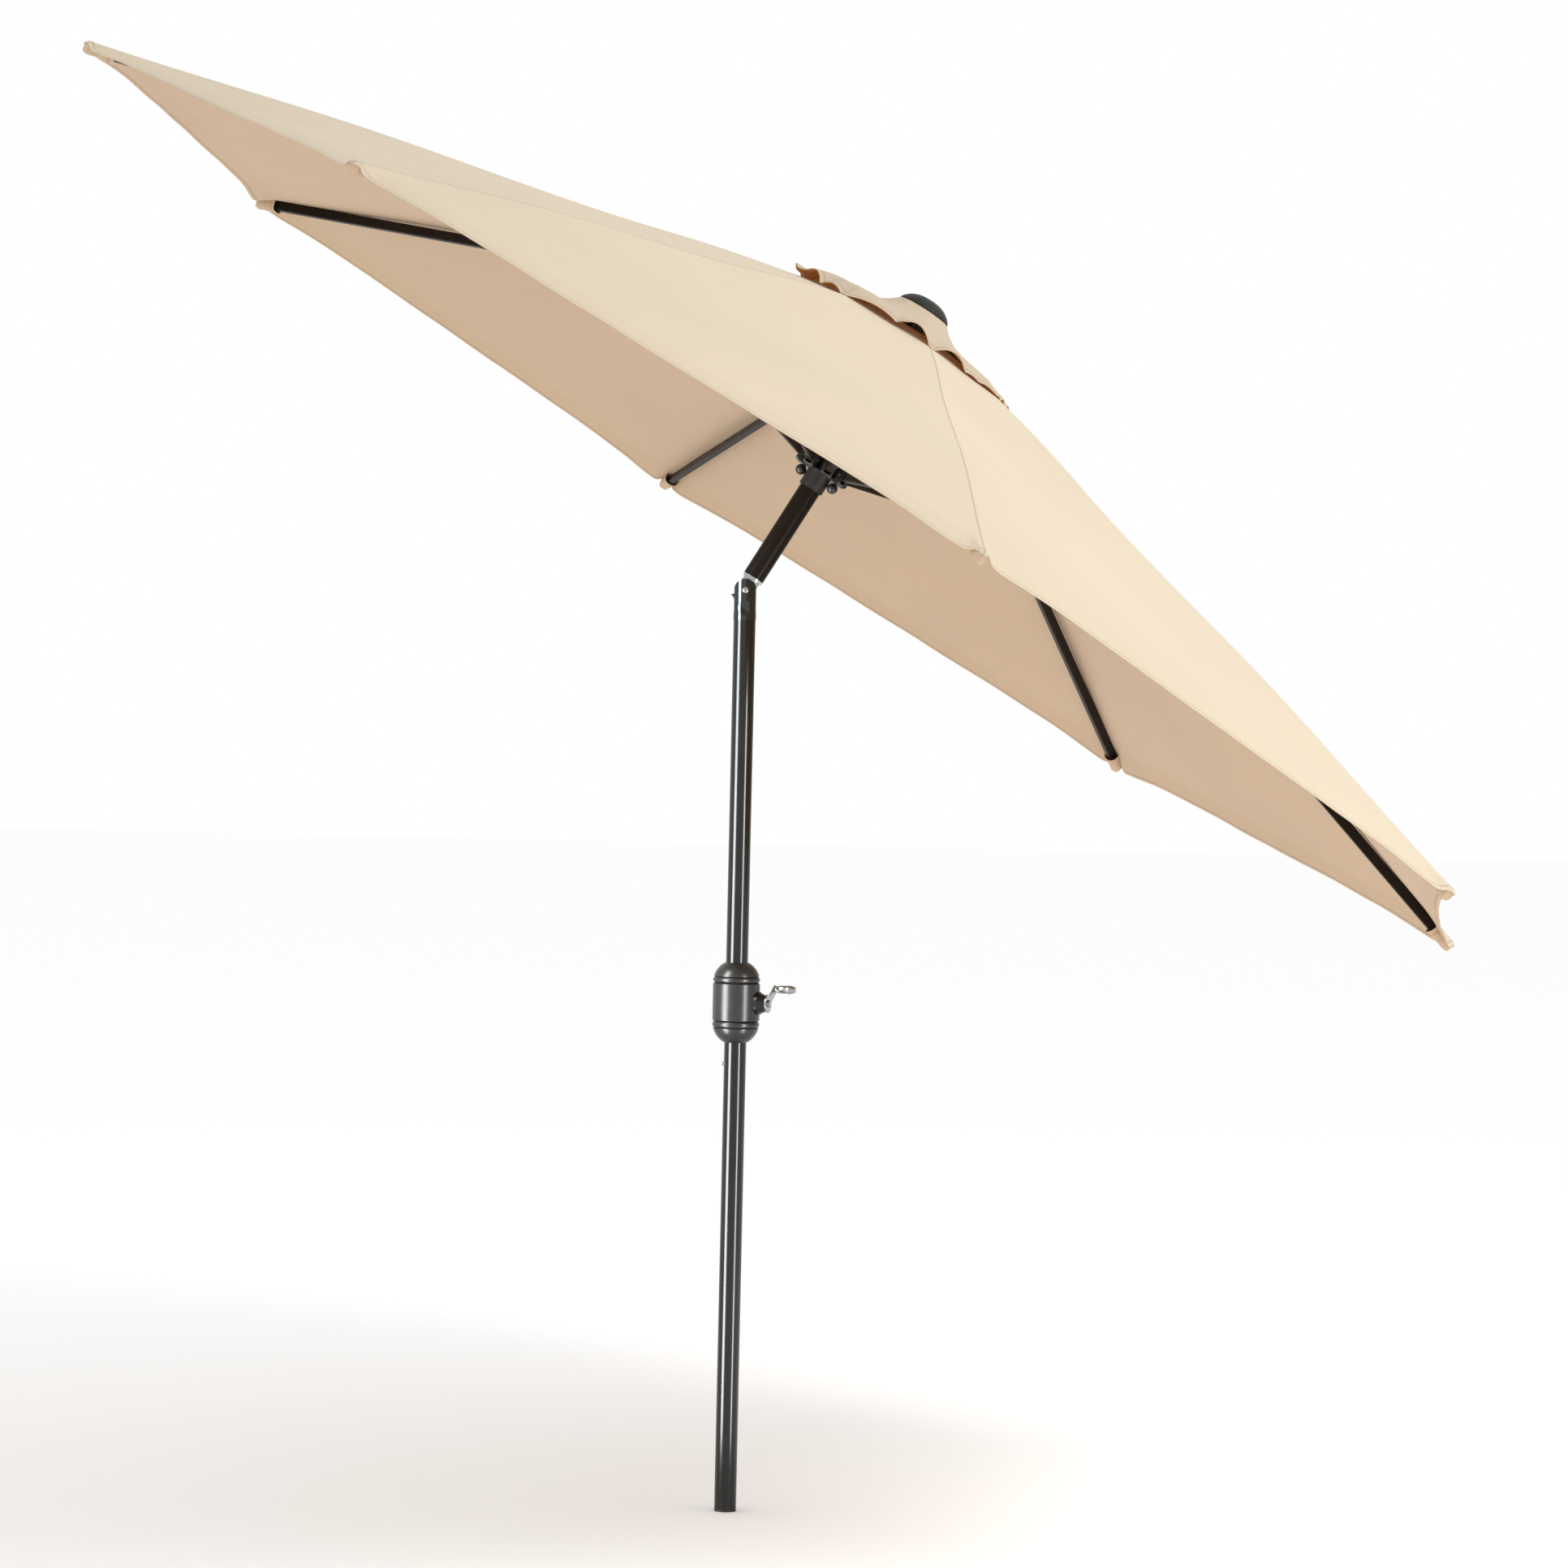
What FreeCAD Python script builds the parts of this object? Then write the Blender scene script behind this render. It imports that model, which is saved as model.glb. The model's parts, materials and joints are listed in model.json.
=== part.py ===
"""Crank and tilt patio umbrella, 3 m class, without a base stand.

Frame: +Z up, origin at the centre of the pole's lower end. +X is the direction the canopy
tilts down towards. The umbrella is drawn open and tilted. Everything above the tilt joint is
drawn upright in a local frame, with its origin on the tilt pivot, and is then tilted into place.
Lengths are in millimetres, angles in degrees.
"""

import FreeCAD, Part
import math
import os

from FreeCAD import Vector

# ---- driving dimensions: pole ----------------------------------------------------------------
POLE_R = 19.0
POLE_WALL = 1.4
POLE_BORE_R = POLE_R - POLE_WALL
SPIGOT_R = POLE_BORE_R - 0.15
PIVOT_HEIGHT = 1588.0
TILT = 31.4
FOOT_FLANGE = 3.0
INSERTION_DEPTH = 300.0

# ---- crank housing ---------------------------------------------------------------------------
HOUSING_BOTTOM = 808.5
HOUSING_TOP = 946.0
HOUSING_R = 40.7
HOUSING_WALL = 2.5
LOWER_RING = (833.0, 846.0)
UPPER_RING = (910.5, 922.5)
CRANK_HEIGHT = 877.0
CRANK_AZIMUTH = -20.0
CRANK_ARM_LENGTH = 45.0
CRANK_ARM_LEAN = 59.0
SHAFT_R = 5.0
RUN_GAP = 0.05

# ---- tilt knuckle ----------------------------------------------------------------------------
YOKE_R = 19.5
YOKE_BOTTOM = 1536.0
YOKE_SLOT = 11.2
YOKE_SLOT_DEPTH = 36.0
TONGUE_WIDTH = 10.4
PIVOT_PIN_R = 4.0
RATCHET_R = 25.0
BUTTON_DROP = 31.0
BUTTON_R = 12.5

# ---- linkage: rib, strut and runner form an isosceles triangle on the mast -------------------
RIB_COUNT = 8
FIRST_RIB = 10.2
HINGE_R = 42.0
RIB_HINGE_S = 538.0
RUNNER_HINGE_S = 253.0
RIB_SLOPE = 15.4
LINK_LENGTH = (RIB_HINGE_S - RUNNER_HINGE_S) / (2.0 * math.sin(math.radians(RIB_SLOPE)))
RIB_TIP_R = 1425.0
RIB_WIDTH = 12.0
RIB_HEIGHT = 18.0
STRUT_HEIGHT = 16.0
TUBE_WALL = 0.8
LINK_PIN_R = 2.5
LINK_HOLE_R = 2.55
SLACK_HOLE_R = 4.3
FORK_EYE_R = 7.8
SLOT_WIDTH = 12.8
EAR_THICKNESS = 4.0
EAR_REACH = 50.0

# ---- canopy ----------------------------------------------------------------------------------
CLOTH = 1.2
CLOTH_GAP = 1.1
CANOPY_TIP_R = 1436.0
CANOPY_HOLE_R = 150.0
HEM_SAG = 30.0
VENT_R = 226.0
VENT_RISE = 22.0
FINIAL_R = 47.5
FINIAL_HEIGHT = 21.0
FINIAL_S = 571.3

# ---- cords and small parts -------------------------------------------------------------------
CORD_R = 1.5
CORD_DROP_R = 32.4
CORD_AZIMUTH = -12.3
SHEAVE_R = 10.0
SHEAVE_S = 546.0
BALL_R = 9.5
BALL_S = 228.0
RUNNER_RIM_S = 207.5
SNAP_HEIGHT = 771.0

HALF_GORE = 180.0 / RIB_COUNT
SLOPE = math.tan(math.radians(RIB_SLOPE))
Z_AXIS = Vector(0, 0, 1)
Y_AXIS = Vector(0, 1, 0)
X_AXIS = Vector(1, 0, 0)

parts = {}


def cylinder(radius, length, base=Vector(0, 0, 0), axis=Z_AXIS):
    return Part.makeCylinder(radius, length, base, axis)


def tube(outer, inner, low, high):
    """Upright round tube between two heights."""
    height = high - low
    base = Vector(0, 0, low)
    return cylinder(outer, height, base).cut(cylinder(inner, height, base))


def box(low, high):
    """Box between two opposite corners."""
    size = [high[i] - low[i] for i in range(3)]
    return Part.makeBox(size[0], size[1], size[2], Vector(*low))


def lathe(edges):
    """Solid of revolution about Z from the edges of a closed outline in the XZ plane."""
    face = Part.Face(Part.Wire(edges))
    return face.revolve(Vector(0, 0, 0), Z_AXIS, 360)


def line(start, end):
    return Part.LineSegment(Vector(*start), Vector(*end)).toShape()


def arc(start, middle, end):
    return Part.Arc(Vector(*start), Vector(*middle), Vector(*end)).toShape()


def polygon(points):
    """Closed chain of straight edges through points in the XZ plane."""
    corners = [(x, 0, z) for x, z in points]
    return [line(corners[i], corners[(i + 1) % len(corners)]) for i in range(len(corners))]


def turned(shape, angle, axis=Z_AXIS, centre=Vector(0, 0, 0)):
    copy = shape.copy()
    copy.rotate(centre, axis, angle)
    return copy


def moved(shape, x=0.0, y=0.0, z=0.0):
    copy = shape.copy()
    copy.translate(Vector(x, y, z))
    return copy


def on_mast(shape):
    """From the mast's upright local frame to the tilted place in the row frame."""
    return moved(turned(shape, TILT, Y_AXIS), z=PIVOT_HEIGHT)


def along_crank(shape):
    """From a local frame with Z along the crank shaft to the crank's place."""
    level = turned(shape, 90, Y_AXIS)
    return moved(turned(level, CRANK_AZIMUTH), z=CRANK_HEIGHT)


def rib_angle(index):
    return FIRST_RIB + index * 360.0 / RIB_COUNT


def group(shapes):
    return shapes[0] if len(shapes) == 1 else Part.makeCompound(shapes)


# ---- pole ------------------------------------------------------------------------------------
def make_pole():
    snap_hole = cylinder(3.15, 12, Vector(-22, 0, SNAP_HEIGHT), X_AXIS)
    lower = tube(POLE_R, POLE_BORE_R, FOOT_FLANGE, HOUSING_BOTTOM + 24)
    scribe = tube(POLE_R + 1, POLE_R - 0.2, INSERTION_DEPTH, INSERTION_DEPTH + 0.6)
    parts["lower_pole_tube"] = lower.cut([snap_hole, scribe])
    flange = cylinder(POLE_R, FOOT_FLANGE)
    parts["foot_plug"] = flange.fuse(tube(SPIGOT_R, 12.0, FOOT_FLANGE, 28.0))
    spigot = tube(SPIGOT_R, SPIGOT_R - 1.4, SNAP_HEIGHT - 71, HOUSING_BOTTOM + 33)
    parts["pole_spigot"] = spigot.cut(snap_hole)
    parts["middle_pole_tube"] = tube(POLE_R, POLE_BORE_R, UPPER_RING[0], YOKE_BOTTOM)
    parts["upper_pole_tube"] = on_mast(tube(POLE_R, POLE_BORE_R, 26.0, 522.0))


def make_snap_button():
    leg = 12.0
    leaf = 0.8
    bend_height = SNAP_HEIGHT - 46
    top = SNAP_HEIGHT + 8
    bend = tube(leg, leg - leaf, -4, 4).common(box((-20, -20, -5), (20, 0, 5)))
    bend = moved(turned(bend, 90, X_AXIS), z=bend_height)
    left = box((-leg, -4, bend_height), (-leg + leaf, 4, top))
    right = box((leg - leaf, -4, bend_height), (leg, 4, top))
    parts["snap_spring"] = bend.fuse([left, right])
    pin = cylinder(3.0, 9.0, Vector(-21, 0, SNAP_HEIGHT), X_AXIS)
    nose = Part.makeSphere(3.0, Vector(-21, 0, SNAP_HEIGHT))
    head = cylinder(4.4, 1.2, Vector(-13.2, 0, SNAP_HEIGHT), X_AXIS)
    parts["snap_button"] = pin.fuse([nose, head])


# ---- crank housing ---------------------------------------------------------------------------
def dome(edge_z, tip_z, wall):
    """Domed end cap, a shell with a neck that grips the pole."""
    rise = tip_z - edge_z
    edge_r = HOUSING_R - 1.4
    neck_r = POLE_R + 1.6
    skin = arc((edge_r, 0, edge_z), (32.6, 0, edge_z + 0.57 * rise), (neck_r, 0, tip_z))
    neck = line((neck_r, 0, tip_z), (POLE_R, 0, tip_z))
    bore = line((POLE_R, 0, tip_z), (POLE_R, 0, tip_z - 0.3 * rise))
    inner_edge = edge_r - wall
    inside = arc((POLE_R, 0, tip_z - 0.3 * rise), (30.0, 0, edge_z + 0.45 * rise),
                 (inner_edge, 0, edge_z))
    foot = line((inner_edge, 0, edge_z), (edge_r, 0, edge_z))
    return lathe([skin, neck, bore, inside, foot])


def ring_band(low, high):
    """Raised band with a groove at each side."""
    groove = 2.0
    bulge = HOUSING_R - 0.1
    inner = HOUSING_R - 4.4
    side = bulge - 1.7
    skin = arc((side, 0, low + groove), (bulge, 0, (low + high) / 2), (side, 0, high - groove))
    root = HOUSING_R - 3.6
    outline = [
        line((inner, 0, low), (root, 0, low)),
        line((root, 0, low), (side, 0, low + groove)),
        skin,
        line((side, 0, high - groove), (root, 0, high)),
        line((root, 0, high), (inner, 0, high)),
        line((inner, 0, high), (inner, 0, low)),
    ]
    return lathe(outline)


def bush(radius, length, start):
    """Bearing sleeve on the crank shaft, in the shaft's local frame."""
    base = Vector(0, 0, start)
    return cylinder(radius, length, base).cut(cylinder(SHAFT_R + RUN_GAP, length, base))


def make_housing():
    inner = HOUSING_R - HOUSING_WALL
    body = tube(HOUSING_R, inner, LOWER_RING[1], UPPER_RING[0])
    shaft_hole = along_crank(cylinder(9.0, 120, Vector(0, 0, -10)))
    round_edges = [e for e in body.Edges if e.BoundBox.ZLength < 0.01 and e.BoundBox.XLength > 80]
    body = body.makeFillet(1.6, round_edges)
    parts["crank_housing_body"] = body.cut(shaft_hole)
    parts["housing_top_dome"] = dome(UPPER_RING[1], HOUSING_TOP, HOUSING_WALL)
    parts["housing_bottom_dome"] = dome(LOWER_RING[0], HOUSING_BOTTOM, HOUSING_WALL)
    parts["housing_rings"] = group([ring_band(*LOWER_RING), ring_band(*UPPER_RING)])
    far = bush(9.0, 5.0, -36.5)
    near = bush(8.9, 8.0, 31.0)
    parts["spool_bushes"] = along_crank(group([far, near]))


def make_crank():
    flange = cylinder(20.0, 9.0, Vector(0, 0, 34.0))
    bell = Part.makeCone(19.0, 13.5, 12.0, Vector(0, 0, 43.0), Z_AXIS)
    boss = along_crank(flange.fuse(bell).cut(cylinder(SHAFT_R + 0.6, 30, Vector(0, 0, 30))))
    saddle = cylinder(HOUSING_R, 200, Vector(0, 0, 780))
    parts["crank_boss"] = boss.cut(saddle)

    shaft = cylinder(SHAFT_R, 92.0, Vector(0, 0, -36.0))
    parts["crank_shaft"] = along_crank(shaft)
    hole = cylinder(SHAFT_R, 60, Vector(0, 0, -30))
    drum = cylinder(12.0, 22.0, Vector(0, 0, -11.0))
    cheeks = [cylinder(20.0, 2.0, Vector(0, 0, -13.0)), cylinder(20.0, 2.0, Vector(0, 0, 11.0))]
    parts["cord_spool"] = along_crank(drum.fuse(cheeks).cut(hole))
    wraps = []
    turns = 6
    for turn in range(turns):
        place = -10.5 + CORD_R + turn * (21.0 - 2 * CORD_R) / (turns - 1)
        wraps.append(Part.makeTorus(12.0 + CORD_R + 0.02, CORD_R, Vector(0, 0, place), Z_AXIS))
    parts["cord_winding"] = along_crank(group(wraps))
    brake = []
    for turn in range(4):
        brake.append(Part.makeTorus(7.5, 0.9, Vector(0, 0, 16.5 + 2.4 * turn), Z_AXIS))
    parts["brake_spring"] = along_crank(group(brake))

    parts["crank_arm"] = along_crank(crank_arm())
    parts["crank_knob"] = along_crank(crank_knob())


def crank_arm_end():
    """Centre of the knob pin in the shaft's local frame, whose -X is up."""
    lean = math.radians(CRANK_ARM_LEAN)
    return (-CRANK_ARM_LENGTH * math.cos(lean), CRANK_ARM_LENGTH * math.sin(lean))


def crank_arm():
    plate_z = 56.0
    plate = 3.0
    x, y = crank_arm_end()
    hub = cylinder(16.0, plate, Vector(0, 0, plate_z))
    eye = cylinder(7.0, plate, Vector(x, y, plate_z))
    bar = box((0, -7, plate_z), (CRANK_ARM_LENGTH, 7, plate_z + plate))
    bar = turned(bar, math.degrees(math.atan2(y, x)))
    pin = cylinder(3.0, 34.0, Vector(x, y, plate_z + plate))
    head = cylinder(5.0, 1.2, Vector(x, y, plate_z + plate + 34.0))
    nut = cylinder(6.5, 3.2, Vector(0, 0, plate_z + plate))
    return hub.fuse([eye, bar, pin, head, nut])


def crank_knob():
    x, y = crank_arm_end()
    low = 59.4
    high = 92.6
    outline = [
        line((3.05, 0, low), (5.0, 0, low)),
        arc((5.0, 0, low), (6.4, 0, low + 6), (7.0, 0, low + 20)),
        arc((7.0, 0, low + 20), (6.7, 0, high - 4), (5.2, 0, high)),
        line((5.2, 0, high), (3.05, 0, high)),
        line((3.05, 0, high), (3.05, 0, low)),
    ]
    return moved(lathe(outline), x, y)


# ---- tilt knuckle ----------------------------------------------------------------------------
def make_knuckle():
    stem = cylinder(YOKE_R, PIVOT_HEIGHT + 30 - YOKE_BOTTOM, Vector(0, 0, YOKE_BOTTOM))
    shoulder = box((-20, -20, YOKE_BOTTOM), (20, 20, PIVOT_HEIGHT))
    nose = cylinder(YOKE_R, 40, Vector(0, -20, PIVOT_HEIGHT), Y_AXIS)
    yoke = stem.common(shoulder.fuse(nose))
    half = YOKE_SLOT / 2
    floor = PIVOT_HEIGHT - YOKE_SLOT_DEPTH
    slot = box((-25, -half, floor), (25, half, PIVOT_HEIGHT + 40))
    button_z = PIVOT_HEIGHT - BUTTON_DROP
    seat = cylinder(BUTTON_R + 0.3, 16, Vector(0, -25, button_z), Y_AXIS)
    stem_hole = cylinder(4.3, 20, Vector(0, -22, button_z), Y_AXIS)
    pin_hole = cylinder(PIVOT_PIN_R, 60, Vector(0, -30, PIVOT_HEIGHT), Y_AXIS)
    head_seats = [
        cylinder(6.0, 5, Vector(0, 18.7, PIVOT_HEIGHT), Y_AXIS),
        cylinder(6.0, 5, Vector(0, -23.7, PIVOT_HEIGHT), Y_AXIS),
    ]
    spigot = tube(SPIGOT_R, 9.0, YOKE_BOTTOM - 42, YOKE_BOTTOM)
    cord_way = cylinder(9.0, 60, Vector(0, 0, YOKE_BOTTOM - 42))
    yoke = yoke.fuse(spigot).cut([slot, seat, stem_hole, pin_hole, cord_way] + head_seats)
    parts["knuckle_yoke"] = yoke

    shank = cylinder(PIVOT_PIN_R, 37.4, Vector(0, -18.7, PIVOT_HEIGHT), Y_AXIS)
    dome_head = cylinder(5.35, 2.4, Vector(0, -21.1, PIVOT_HEIGHT), Y_AXIS)
    rim = [e for e in dome_head.Edges
           if abs(e.BoundBox.YMin + 21.1) < 0.01 and e.BoundBox.XLength > 5]
    dome_head = dome_head.makeFillet(1.6, rim)
    far_head = turned(dome_head, 180, Z_AXIS)
    parts["pivot_pin"] = shank.fuse([dome_head, far_head])


def make_tongue():
    half = TONGUE_WIDTH / 2
    disc = cylinder(17.0, TONGUE_WIDTH, Vector(0, -half, 0), Y_AXIS)
    neck = box((-15, -half, 0), (15, half, 21))
    collar = cylinder(18.2, 5.5, Vector(0, 0, 20.5))
    plug = tube(SPIGOT_R, 9.0, 26.0, 70.0)
    hole = cylinder(PIVOT_PIN_R + RUN_GAP, 60, Vector(0, -30, 0), Y_AXIS)
    tongue = disc.fuse([neck, collar, plug]).cut(hole)
    parts["knuckle_tongue"] = on_mast(tongue)

    ring = cylinder(RATCHET_R, 7.0, Vector(0, -3.5, 0), Y_AXIS)
    ring = ring.cut(cylinder(17.0, 7.0, Vector(0, -3.5, 0), Y_AXIS))
    reach = 60.0
    half_angle = math.radians(41)
    corners = [
        (0, 0),
        (-reach * math.sin(half_angle), -reach * math.cos(half_angle)),
        (reach * math.sin(half_angle), -reach * math.cos(half_angle)),
    ]
    wedge = Part.Face(Part.Wire(polygon(corners))).extrude(Vector(0, 10, 0))
    sector = ring.common(moved(wedge, y=-5))
    notches = []
    notch = [(-1.7, -RATCHET_R - 0.5), (1.7, -RATCHET_R - 0.5), (0, -RATCHET_R + 2.6)]
    cutter = Part.Face(Part.Wire(polygon(notch))).extrude(Vector(0, 10, 0))
    for step in range(-4, 5):
        notches.append(turned(moved(cutter, y=-5), step * 8.2, Y_AXIS))
    parts["ratchet_sector"] = on_mast(sector.cut(notches))


def make_tilt_button():
    button_z = PIVOT_HEIGHT - BUTTON_DROP
    cap = cylinder(BUTTON_R, 10, Vector(0, -23.5, button_z), Y_AXIS)
    skin = cylinder(YOKE_R + 1.1, 40, Vector(0, 0, button_z - 20))
    cap = cap.common(skin)
    dish = Part.makeSphere(60, Vector(0, -78.6, button_z))
    cap = cap.cut(dish)
    stem = cylinder(4.0, 10, Vector(0, -14, button_z), Y_AXIS)
    pawl = box((-4, -4.6, button_z - 3.5), (4, 0.4, button_z + 5.6))
    parts["tilt_button"] = cap.fuse([stem, pawl])
    coils = []
    for turn in range(3):
        coils.append(Part.makeTorus(7.5, 0.7, Vector(0, -12.75 + 1.5 * turn, button_z), Y_AXIS))
    parts["tilt_button_spring"] = group(coils)


# ---- crown and runner hubs -------------------------------------------------------------------
def hub_ears(low, high, floor):
    """Eight clevises: blocks that reach out from the hub, each with a slot for a rib or strut."""
    half = SLOT_WIDTH / 2
    side = half + EAR_THICKNESS
    block = box((20, -side, low), (EAR_REACH, side, high))
    slot = box((HINGE_R - 12.6, -half, floor), (EAR_REACH + 5, half, high + 5))
    edges = [e for e in block.Edges if e.BoundBox.XLength < 0.01 and e.BoundBox.ZLength < 0.01
             and e.BoundBox.XMin > EAR_REACH - 0.1]
    block = block.makeFillet(5.0, edges)
    blocks = [turned(block, rib_angle(i)) for i in range(RIB_COUNT)]
    slots = [turned(slot, rib_angle(i)) for i in range(RIB_COUNT)]
    return blocks, slots


def hinge_holes(height):
    hole = cylinder(LINK_HOLE_R, 30, Vector(HINGE_R, -15, height), Y_AXIS)
    return [turned(hole, rib_angle(i)) for i in range(RIB_COUNT)]


def hinge_pins(height):
    length = SLOT_WIDTH + 2 * EAR_THICKNESS
    pin = cylinder(LINK_PIN_R, length, Vector(HINGE_R, -length / 2, height), Y_AXIS)
    return group([turned(pin, rib_angle(i)) for i in range(RIB_COUNT)])


def cord_sides():
    return (CORD_AZIMUTH, CORD_AZIMUTH + 180)


def make_crown():
    blocks, slots = hub_ears(RIB_HINGE_S - 12, RIB_HINGE_S + 12, RIB_HINGE_S - 13)
    core = cylinder(29.0, 24.0, Vector(0, 0, RIB_HINGE_S - 12))
    collar = tube(23.0, POLE_R, 500.0, RIB_HINGE_S - 12)
    cap = Part.makeCone(26.0, 15.0, 14.0, Vector(0, 0, RIB_HINGE_S + 12), Z_AXIS)
    sheave_slots = []
    cord_holes = []
    for angle in cord_sides():
        slot = box((8, -3.2, 520), (36, 3.2, SHEAVE_S + 13))
        sheave_slots.append(turned(slot, angle))
        way = cylinder(3.0, 40, Vector(12, 0, 500))
        cord_holes.append(turned(way, angle))
    hollow = cylinder(POLE_BORE_R, 4.0, Vector(0, 0, 522.0))
    seat = cylinder(POLE_R, 40, Vector(0, 0, 482.0))
    hub = core.fuse(blocks + [collar, cap])
    hub = hub.cut(slots + hinge_holes(RIB_HINGE_S) + sheave_slots + cord_holes + [hollow, seat])
    stud = cylinder(4.0, FINIAL_S + 12 - RIB_HINGE_S, Vector(0, 0, RIB_HINGE_S))
    parts["crown_hub"] = on_mast(hub.fuse(stud))
    parts["crown_rib_pins"] = on_mast(hinge_pins(RIB_HINGE_S))
    parts["crown_sheaves"] = on_mast(group(sheaves()))


def sheaves():
    """Two grooved pulleys, each with its axle pin, on opposite sides of the crown."""
    solids = []
    for angle in cord_sides():
        centre = Vector(CORD_DROP_R - SHEAVE_R, 0, SHEAVE_S)
        wheel = cylinder(SHEAVE_R + 0.6, 5.0, centre + Vector(0, -2.5, 0), Y_AXIS)
        groove = Part.makeTorus(SHEAVE_R, CORD_R + 0.15, centre, Y_AXIS)
        bore = cylinder(1.55, 8, centre + Vector(0, -4, 0), Y_AXIS)
        axle = cylinder(1.5, 6.4, centre + Vector(0, -3.2, 0), Y_AXIS)
        solids.append(turned(wheel.cut([groove, bore]), angle))
        solids.append(turned(axle, angle))
    return solids


def make_runner():
    blocks, slots = hub_ears(RUNNER_HINGE_S - 15, RUNNER_HINGE_S + 12, RUNNER_HINGE_S - 11.6)
    core = cylinder(29.0, 27.0, Vector(0, 0, RUNNER_HINGE_S - 15))
    sleeve = cylinder(22.5, 60.0, Vector(0, 0, RUNNER_RIM_S))
    web = cylinder(39.0, 3.4, Vector(0, 0, RUNNER_HINGE_S - 15))
    bore = cylinder(POLE_R + 0.4, 120, Vector(0, 0, 180))
    cord_holes = []
    for angle in cord_sides():
        way = cylinder(CORD_R + 0.2, 80, Vector(CORD_DROP_R, 0, 200))
        cord_holes.append(turned(way, angle))
    runner = core.fuse(blocks + [sleeve, web])
    runner = runner.cut(slots + hinge_holes(RUNNER_HINGE_S) + cord_holes + [bore])
    parts["runner_hub"] = on_mast(runner)
    parts["runner_strut_pins"] = on_mast(hinge_pins(RUNNER_HINGE_S))
    balls = []
    drops = []
    for angle in cord_sides():
        ball = Part.makeSphere(BALL_R, Vector(CORD_DROP_R, 0, BALL_S))
        drop = cylinder(CORD_R, SHEAVE_S - 30 - BALL_S, Vector(CORD_DROP_R, 0, BALL_S))
        balls.append(turned(ball.cut(drop), angle))
        drops.append(turned(drop, angle))
    parts["cord_stop_balls"] = on_mast(group(balls))
    parts["lift_cord_drop"] = on_mast(group(drops))


def make_inner_cords():
    lower = []
    upper = []
    inner_r = CORD_DROP_R - 2 * SHEAVE_R
    for angle in cord_sides():
        foot = CRANK_HEIGHT + 16.0
        run = cylinder(CORD_R, YOKE_BOTTOM + 14 - foot, Vector(5.0, 0, foot))
        lower.append(turned(run, angle))
        rise = cylinder(CORD_R, SHEAVE_S - 74, Vector(inner_r, 0, 74))
        over = Part.makeTorus(SHEAVE_R, CORD_R, Vector(CORD_DROP_R - SHEAVE_R, 0, SHEAVE_S), Y_AXIS)
        over = over.common(box((0, -5, SHEAVE_S), (60, 5, SHEAVE_S + 20)))
        fall = cylinder(CORD_R, 30, Vector(CORD_DROP_R, 0, SHEAVE_S - 30))
        upper.append(turned(rise.fuse([over, fall]), angle))
    parts["lift_cord_lower"] = group(lower)
    parts["lift_cord_upper"] = on_mast(group(upper))


# ---- ribs and struts -------------------------------------------------------------------------
def hollow_bar(start, end, width, height, plug):
    """Rectangular tube along X with rounded long edges and a solid stretch at each end."""
    bar = box((start, -width / 2, -height / 2), (end, width / 2, height / 2))
    long_edges = [e for e in bar.Edges if e.BoundBox.XLength > end - start - 1]
    bar = bar.makeFillet(1.8, long_edges)
    w = width / 2 - TUBE_WALL
    h = height / 2 - TUBE_WALL
    return bar.cut(box((start + plug, -w, -h), (end - plug, w, h)))


def make_rib(index):
    slope = math.radians(RIB_SLOPE)
    end = (RIB_TIP_R - HINGE_R) / math.cos(slope)
    bar = hollow_bar(-7.5, end - 12, RIB_WIDTH, RIB_HEIGHT, 18.0)
    hinge = cylinder(LINK_HOLE_R, 30, Vector(0, -15, 0), Y_AXIS)
    rivet_hole = cylinder(LINK_PIN_R, 30, Vector(LINK_LENGTH, -15, 0), Y_AXIS)
    bar = bar.cut([hinge, rivet_hole])
    shank = cylinder(LINK_PIN_R, 19.0, Vector(LINK_LENGTH, -9.5, 0), Y_AXIS)
    heads = [cylinder(6.0, 1.6, Vector(LINK_LENGTH, y, 0), Y_AXIS) for y in (-11.1, 9.5)]
    rivet = shank.fuse(heads)
    cap = box((end - 12, -RIB_WIDTH / 2, -RIB_HEIGHT / 2), (end, RIB_WIDTH / 2, RIB_HEIGHT / 2))
    nose = [e for e in cap.Edges if e.BoundBox.XMin > end - 0.1]
    cap = cap.makeFillet(3.0, nose)
    rib = turned(group([bar, rivet, cap]), RIB_SLOPE, Y_AXIS)
    rib = moved(rib, x=HINGE_R, z=RIB_HINGE_S)
    parts["rib_%d" % (index + 1)] = on_mast(turned(rib, rib_angle(index)))


def make_strut(index):
    """Bar from the runner, ending in a fork that straddles the rib; its eye has room for the rivet."""
    end = LINK_LENGTH
    neck = end - 36
    bar = hollow_bar(-7.5, neck, RIB_WIDTH, STRUT_HEIGHT, 18.0)
    inner = 6.35
    outer = 8.85
    bridge = box((neck - 30, -outer, -STRUT_HEIGHT / 2), (neck, outer, STRUT_HEIGHT / 2))
    arms = []
    for side in (-1, 1):
        low = min(side * inner, side * outer)
        arm = box((neck - 20, low, -6.5), (end, low + outer - inner, 6.5))
        eye = cylinder(FORK_EYE_R, outer - inner, Vector(end, low, 0), Y_AXIS)
        arms += [arm, eye]
    hinge = cylinder(LINK_HOLE_R, 30, Vector(0, -15, 0), Y_AXIS)
    slack = cylinder(SLACK_HOLE_R, 30, Vector(end, -15, 0), Y_AXIS)
    strut = bar.fuse([bridge] + arms).cut([hinge, slack])
    strut = turned(strut, -RIB_SLOPE, Y_AXIS)
    strut = moved(strut, x=HINGE_R, z=RUNNER_HINGE_S)
    parts["strut_%d" % (index + 1)] = on_mast(turned(strut, rib_angle(index)))


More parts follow.
